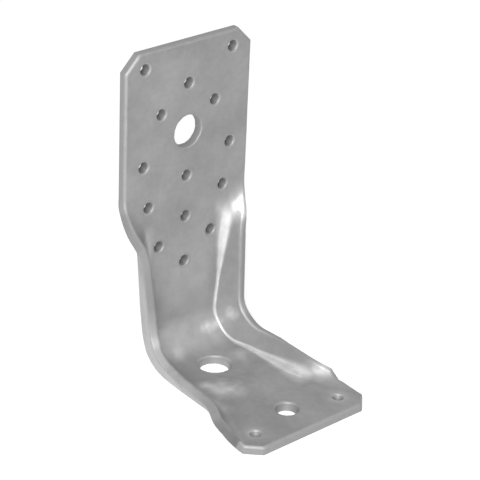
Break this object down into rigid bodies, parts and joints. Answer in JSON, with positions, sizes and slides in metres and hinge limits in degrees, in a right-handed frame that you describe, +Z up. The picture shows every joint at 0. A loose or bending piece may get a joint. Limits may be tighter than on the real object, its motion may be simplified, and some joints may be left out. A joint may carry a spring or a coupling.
{
  "type": "timber-to-concrete angle bracket",
  "caption": "L-shaped pressed steel bracket with stiffening side flanges, nail and bolt holes, that fixes timber to concrete.",
  "frame": {"origin": "centre of the foot's length on its flat underside, midway between the two long edges", "axes": "+X across the strip, +Y from the foot's front end to the upright's back face, +Z up along the upright"},
  "size_m": [0.0658, 0.086, 0.141],
  "materials": {
    "galvanised_steel": "hot-dip zinc coated sheet, dull satin grey with a soft mottled lustre and brighter rubbed bends"
  },
  "bodies": {
    "root": {"angle_bracket": "galvanised_steel"}
  },
  "joints": []
}
